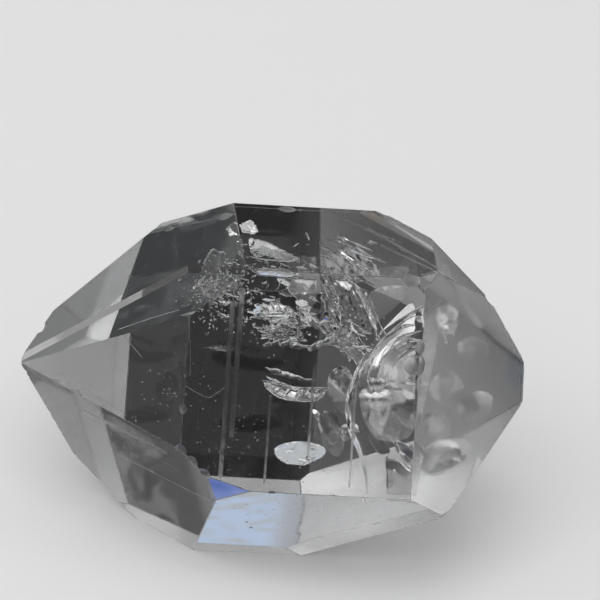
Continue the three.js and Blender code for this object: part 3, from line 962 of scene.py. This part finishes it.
def math_node(tree, operation, *values):
    node = tree.nodes.new("ShaderNodeMath")
    node.operation = operation
    for socket, value in zip(node.inputs, values):
        feed(tree, socket, value)
    return node.outputs["Value"]


def vector_node(tree, operation, a, b, result="Value"):
    node = tree.nodes.new("ShaderNodeVectorMath")
    node.operation = operation
    feed(tree, node.inputs[0], a)
    feed(tree, node.inputs[1], b)
    return node.outputs[result]


def axis_node(tree, vector, axis):
    node = tree.nodes.new("ShaderNodeSeparateXYZ")
    feed(tree, node.inputs[0], vector)
    return node.outputs[axis]


def ramp_node(tree, value, start, end, low=0.0, high=1.0):
    """Eases from low to high as its value goes from start to end."""
    node = tree.nodes.new("ShaderNodeMapRange")
    node.interpolation_type = "SMOOTHSTEP"
    given = {"Value": value, "From Min": start, "From Max": end, "To Min": low, "To Max": high}
    for name, setting in given.items():
        feed(tree, node.inputs[name], setting)
    return node.outputs["Result"]


def mix_node(tree, kind, factor, a, b):
    node = tree.nodes.new("ShaderNodeMix")
    node.data_type = kind
    for name, value in {"Factor": factor, "A": a, "B": b}.items():
        feed(tree, node.inputs[name], value)
    return node.outputs["Result"]


def noise_node(tree, spot, pitch, detail):
    """Soft noise, one half on the average."""
    node = tree.nodes.new("ShaderNodeTexNoise")
    feed(tree, node.inputs["Vector"], spot)
    feed(tree, node.inputs["Scale"], 1.0 / (pitch * MM))
    feed(tree, node.inputs["Detail"], detail)
    return node.outputs["Fac"]


def etched_face():
    """Masks one flat face, given its direction and its reach from the crystal's middle in metres."""
    group = bpy.data.node_groups.new("etched_face", "ShaderNodeTree")
    face = group.interface
    face.new_socket("Facing", in_out="INPUT", socket_type="NodeSocketVector")
    face.new_socket("Reach", in_out="INPUT", socket_type="NodeSocketFloat")
    face.new_socket("Mask", in_out="OUTPUT", socket_type="NodeSocketFloat")
    given, result = group.nodes.new("NodeGroupInput"), group.nodes.new("NodeGroupOutput")
    spot = group.nodes.new("ShaderNodeTexCoord").outputs["Object"]
    centred = vector_node(group, "SUBTRACT", spot, BENCH_TO_FLOOR * MM, "Vector")
    out = vector_node(group, "DOT_PRODUCT", centred, given.outputs["Facing"])
    mask = math_node(group, "GREATER_THAN", out, given.outputs["Reach"])
    feed(group, result.inputs["Mask"], mask)
    return group


QUARTZ_IOR = 1.545
HAZE_COLOUR = (0.93, 0.95, 0.97, 1)
HAZE_DENSITY = 4.0
# A face is etched down to this depth under its plane.
FACE_SKIN = 0.03
ETCHED = (
    # face direction, reach, roughness, how wavy its growth is
    (rhomb(LOWER_BACK, 1), RIGHT_REACH[LOWER_BACK], 0.5, 5),
    (rhomb(UPPER_BACK, 1), RIGHT_REACH[UPPER_BACK] - FAR_LEDGE_DROP, 0.3, 3),
    (rhomb(BOTTOM, 1), RIGHT_REACH[BOTTOM], 0.2, 3),
    (rhomb(LOWER_BACK, -1), LEFT_REACH[LOWER_BACK], 0.08, 1),
    (rhomb(UPPER_BACK, -1), LEFT_REACH[UPPER_BACK], 0.08, 1),
    (rhomb(BOTTOM, -1), LEFT_REACH[BOTTOM], 0.08, 1),
    (prism(LOWER_BACK), PRISM_REACH[LOWER_BACK], 0.05, 1),
    (prism(LOWER_FRONT), PRISM_REACH[LOWER_FRONT], 0.1, 8),
    (rhomb(UPPER_FRONT, 1), RIGHT_REACH[UPPER_FRONT], 0.2, 9),
    (prism(BOTTOM), PRISM_REACH[BOTTOM], 0.35, 1),
    (rhomb(LOWER_FRONT, -1), LEFT_REACH[LOWER_FRONT], 0.08, 3),
    (*three_point_plane(BROKEN_CORNERS[0]), 0.12, 12),
)
# The etching of the lower back face fades in between these places along the crystal.
CREEP = (0.8, 2.7)
CREEP_ROUGHNESS = 0.4
WAVE_PITCH = 2.2
WAVE_DETAIL = 1.0
WAVE_HEIGHT = 0.006
WORN_ROUGHNESS = 0.6
WORN_PITCH = 0.25
WORN_DETAIL = 2.0
# Stains and painted shade: middle, radius and colour. Each fades from this share of its radius
# outwards.
TINT_CORE = 0.4
WHITE = (1, 1, 1, 1)
IRON = (1.0, 0.84, 0.68, 1)
SOOT = (0.12, 0.12, 0.13, 1)
# A bluish grey tint that paints shade onto the right-hand point.
PAINTED_BLUISH_SHADE = (0.74, 0.8, 0.96, 1)
STAINS_AND_PAINTED_SHADE = (
    ((-3.7, -1.8, 6.6), 0.9, IRON),
    ((6.7, -1.8, 7.3), 0.8, IRON),
    ((4.5, 2.9, 9.2), 0.7, IRON),
    ((-2.8, 2.8, 7.1), 0.9, IRON),
    ((9.05, -4.3, 2.8), 0.2, IRON),
    # Painted bluish shade round the right-hand point.
    ((13.0, -0.9, 2.2), 1.3, PAINTED_BLUISH_SHADE),
    ((-1.58, -6.59, -4.89), 0.11, SOOT),
    ((-1.21, -6.21, -5.55), 0.15, SOOT),
    ((1.33, -6.72, -4.67), 0.09, SOOT),
)


def add_up(tree, values):
    """Adds (mask, weight) pairs."""
    total = 0.0
    for mask, weight in values:
        total = math_node(tree, "MULTIPLY_ADD", mask, weight, total)
    return total


def etching(tree):
    """A mask for each etched face, with its roughness and with the height of its waves."""
    etched = etched_face()
    rough, wavy = [], []
    for facing, reach, etch, waves in ETCHED:
        face = tree.nodes.new("ShaderNodeGroup")
        face.node_tree = etched
        feed(tree, face.inputs["Facing"], facing)
        feed(tree, face.inputs["Reach"], (reach - FACE_SKIN) * MM)
        rough.append((face.outputs["Mask"], etch))
        wavy.append((face.outputs["Mask"], waves))
    return rough, wavy


def roughness(tree, spot, rough):
    # The etching at the right-hand point fades out along the lower back face.
    facings = [facts[0] for facts in ETCHED]
    lower_back, _ = rough[facings.index(prism(LOWER_BACK))]
    fade_in = ramp_node(tree, axis_node(tree, spot, "X"), CREEP[0] * MM, CREEP[1] * MM)
    creep = math_node(tree, "MULTIPLY", fade_in, lower_back)

    # Chips and ridges are matt in patches.
    worn = tree.nodes.new("ShaderNodeAttribute")
    worn.attribute_name = "wear"
    patches = noise_node(tree, spot, WORN_PITCH, WORN_DETAIL)
    matt = math_node(tree, "MULTIPLY", worn.outputs["Fac"], patches)
    return add_up(tree, [*rough, (creep, CREEP_ROUGHNESS), (matt, 2 * WORN_ROUGHNESS)])


def growth_waves(tree, spot, wavy):
    """The faces grew in low waves."""
    swell = math_node(tree, "ADD", add_up(tree, wavy), 1.0)
    waves = noise_node(tree, spot, WAVE_PITCH, WAVE_DETAIL)
    bump = tree.nodes.new("ShaderNodeBump")
    feed(tree, bump.inputs["Distance"], WAVE_HEIGHT * MM)
    feed(tree, bump.inputs["Height"], math_node(tree, "MULTIPLY", waves, swell))
    return bump.outputs["Normal"]


def stains_and_painted_shade(tree, spot):
    """Clear all over but for a tint round each stain, and painted bluish shade at the right-hand
    point.
    """
    colour = WHITE
    for middle, radius, tint in STAINS_AND_PAINTED_SHADE:
        away = vector_node(tree, "DISTANCE", spot, (Vector(middle) + BENCH_TO_FLOOR) * MM)
        fade = ramp_node(tree, away, radius * MM, TINT_CORE * radius * MM)
        colour = mix_node(tree, "RGBA", fade, colour, tint)
    return colour


def clear_quartz():
    mat = bpy.data.materials.new("clear_quartz")
    mat.use_nodes = True
    tree = mat.node_tree
    spot = tree.nodes.new("ShaderNodeTexCoord").outputs["Object"]
    rough, wavy = etching(tree)
    shader = tree.nodes["Principled BSDF"].inputs
    shader["IOR"].default_value = QUARTZ_IOR
    shader["Transmission Weight"].default_value = 1.0
    feed(tree, shader["Roughness"], roughness(tree, spot, rough))
    feed(tree, shader["Normal"], growth_waves(tree, spot, wavy))
    feed(tree, shader["Base Color"], stains_and_painted_shade(tree, spot))

    haze = tree.nodes.new("ShaderNodeVolumeAbsorption")
    haze.inputs["Color"].default_value = HAZE_COLOUR
    haze.inputs["Density"].default_value = HAZE_DENSITY
    feed(tree, tree.nodes["Material Output"].inputs["Volume"], haze.outputs["Volume"])
    return mat


def crystal():
    body = cleaved_block()
    ridge_lines = ridges(body)
    soften_edges(body)
    growth_ledges(body)
    for facts in GROOVES:
        groove(body, *facts)
    chip_ridges(body, ridge_lines)
    mark_wear(body)
    carve(body, scar_tool())
    body.data.materials.clear()
    body.data.materials.append(clear_quartz())
    inside = fractures()
    inside.data.materials.append(body.data.materials[0])
    pick(body)
    inside.select_set(True)
    bpy.ops.object.join()
    set_down(body)
    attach(body, "root")
    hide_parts("crystal")
    return body


# ---- Studio ----

CAMERA_RIGHT = Vector((0.9786, -0.1107, 0.1461))
CAMERA_BACK = Vector((-0.175, -0.8007, 0.573))
CAMERA_DISTANCE = 0.8
CAMERA_CLIP = (0.05, 5)
SENSOR = 36.0
# The view is this many pixels wide, each of them this many millimetres at the crystal, and its
# middle lies to the right of and above the crystal's middle.
VIEW_PIXELS = 600
PIXEL = 0.05486
VIEW_WIDTH = VIEW_PIXELS * PIXEL * MM
AIM_RIGHT = 25 * PIXEL
AIM_UP = 80 * PIXEL


def camera():
    back = CAMERA_BACK.normalized()
    right = (CAMERA_RIGHT - back * back.dot(CAMERA_RIGHT)).normalized()
    up = back.cross(right)
    data = bpy.data.cameras.new("camera")
    data.sensor_width = SENSOR
    data.lens = SENSOR * CAMERA_DISTANCE / VIEW_WIDTH
    data.clip_start, data.clip_end = CAMERA_CLIP
    eye = bpy.data.objects.new("camera", data)
    bpy.context.scene.collection.objects.link(eye)
    aim = (BENCH_TO_FLOOR + right * AIM_RIGHT + up * AIM_UP) * MM
    turn = Matrix((right, up, back)).transposed()
    eye.matrix_world = Matrix.Translation(aim + back * CAMERA_DISTANCE) @ turn.to_4x4()
    bpy.context.scene.camera = eye


FLOOR_SIZE = 4
FLOOR_COLOUR = (0.82, 0.82, 0.82, 1)
FLOOR_ROUGHNESS = 0.9


def floor():
    deselect()
    bpy.ops.mesh.primitive_plane_add(size=FLOOR_SIZE)
    ground = bpy.context.object
    ground.name = "floor"
    mat = bpy.data.materials.new("pale_floor")
    mat.use_nodes = True
    shader = mat.node_tree.nodes["Principled BSDF"]
    shader.inputs["Base Color"].default_value = FLOOR_COLOUR
    shader.inputs["Roughness"].default_value = FLOOR_ROUGHNESS
    shader.inputs["Specular IOR Level"].default_value = 0.0
    ground.data.materials.append(mat)
    ground.visible_transmission = False
    ground.visible_glossy = False


# The dome's glow above the horizon and how it leans to one side, its glow below, and the heights
# between which the one eases into the other.
SKY_GLOW = 0.48
SKY_LEAN = (-0.16, 0.0, 0.08)
BELOW_GLOW = 0.003
HORIZON = (-0.2, 0.1)
# A shade hides part of the dome: the way to it, its soft edge and the share of glow that it lets by.
SHADE_WAY = (0.668, 0.601, 0.438)
SHADE_EDGE = (0.86, 0.92)
SHADE_GLOW = 0.2
POLARISED_GLOW = 0.5
SURROUND_GLOW = 0.6


def dome_glow(tree):
    """How bright the dome is each way: soft above, dark below, and shaded in one corner."""
    way = tree.nodes.new("ShaderNodeTexCoord").outputs["Generated"]
    bright = math_node(tree, "ADD", vector_node(tree, "DOT_PRODUCT", way, SKY_LEAN), SKY_GLOW)
    corner = vector_node(tree, "DOT_PRODUCT", way, SHADE_WAY)
    shaded = ramp_node(tree, corner, *SHADE_EDGE, 1.0, SHADE_GLOW)
    above = math_node(tree, "MULTIPLY", bright, shaded)
    return ramp_node(tree, axis_node(tree, way, "Z"), *HORIZON, BELOW_GLOW, above)


def sky():
    """A soft dome, with a plain pale surround for the camera.

    What the crystal mirrors straight from the dome is dimmed, as by a polarising filter.
    """
    world = bpy.data.worlds.new("studio")
    bpy.context.scene.world = world
    world.use_nodes = True
    tree = world.node_tree
    ray = tree.nodes.new("ShaderNodeLightPath").outputs
    mirrored = math_node(tree, "MULTIPLY", ray["Is Reflection Ray"], ray["Is Glossy Ray"])
    polarised = mix_node(tree, "FLOAT", mirrored, 1.0, POLARISED_GLOW)
    filtered = math_node(tree, "MULTIPLY", dome_glow(tree), polarised)
    glow = mix_node(tree, "FLOAT", ray["Is Camera Ray"], filtered, SURROUND_GLOW)
    shade = tree.nodes["Background"].inputs
    shade["Color"].default_value = WHITE
    feed(tree, shade["Strength"], glow)


WHITE_LIGHT = (1, 1, 1)
SOFT_BOXES = (
    # name, azimuth, elevation, distance, size, glow and, for some, colour and whether it shows
    ("left_box", -80, 40, 0.5, (0.26, 0.26), 1.0),
    ("far_left_box", -158, 6, 0.6, (0.2, 0.12), 0.9),
    ("back_box", 188, 18, 0.6, (0.9, 0.22), 0.05, (0.3, 0.7, 1)),
    ("blue_card", 161, -5, 0.6, (0.09, 0.06), 0.4, (0.08, 0.25, 1)),
    ("low_blue_card", 172, 8, 0.6, (0.14, 0.04), 0.3, (0.1, 0.4, 1)),
    ("overhead_card", -145, 80, 0.6, (0.2, 0.2), 0.9),
    ("low_right_card", 89, -15, 0.6, (0.14, 0.16), 0.17),
    ("floor_card", 118, -40, 0.6, (0.5, 0.3), 0.022),
    ("facet_card", 146, 46, 0.6, (0.2, 0.2), 0.8),
    ("shell_card", 154, 30, 0.6, (0.18, 0.14), 0.5),
    ("sugar_card", 123, 40, 0.6, (0.1, 0.1), 2.0),
    ("sliver_card", 148, 14, 0.6, (0.08, 0.08), 2.0),
    ("top_glint", -20, 72, 0.6, (0.16, 0.16), 1.6),
    ("right_glint", 70, 48, 0.6, (0.14, 0.14), 1.6),
    ("key", -35, 60, 0.6, (0.5, 0.5), 1.6, WHITE_LIGHT, False),
)
BOUNCES = 24
CLEAR_BOUNCES = 16


def soft_box(name, azimuth, elevation, distance, size, glow, colour=WHITE_LIGHT, seen=True):
    a, e = math.radians(azimuth), math.radians(elevation)
    out = Vector((math.sin(a) * math.cos(e), -math.cos(a) * math.cos(e), math.sin(e)))
    data = bpy.data.lights.new(name, "AREA")
    data.shape = "RECTANGLE"
    data.size, data.size_y = size
    data.energy = glow * math.pi * size[0] * size[1]
    data.color = colour
    box = bpy.data.objects.new(name, data)
    bpy.context.scene.collection.objects.link(box)
    box.location = out * distance
    box.rotation_euler = out.to_track_quat("Z", "Y").to_euler()
    box.visible_camera = False
    box.visible_transmission = seen
    box.visible_glossy = seen


def studio():
    floor()
    sky()
    for facts in SOFT_BOXES:
        soft_box(*facts)
    look = bpy.context.scene
    look.view_settings.view_transform = "Standard"
    look.cycles.max_bounces = BOUNCES
    look.cycles.transmission_bounces = BOUNCES
    look.cycles.glossy_bounces = BOUNCES
    look.cycles.transparent_max_bounces = CLEAR_BOUNCES


crystal()
studio()
camera()
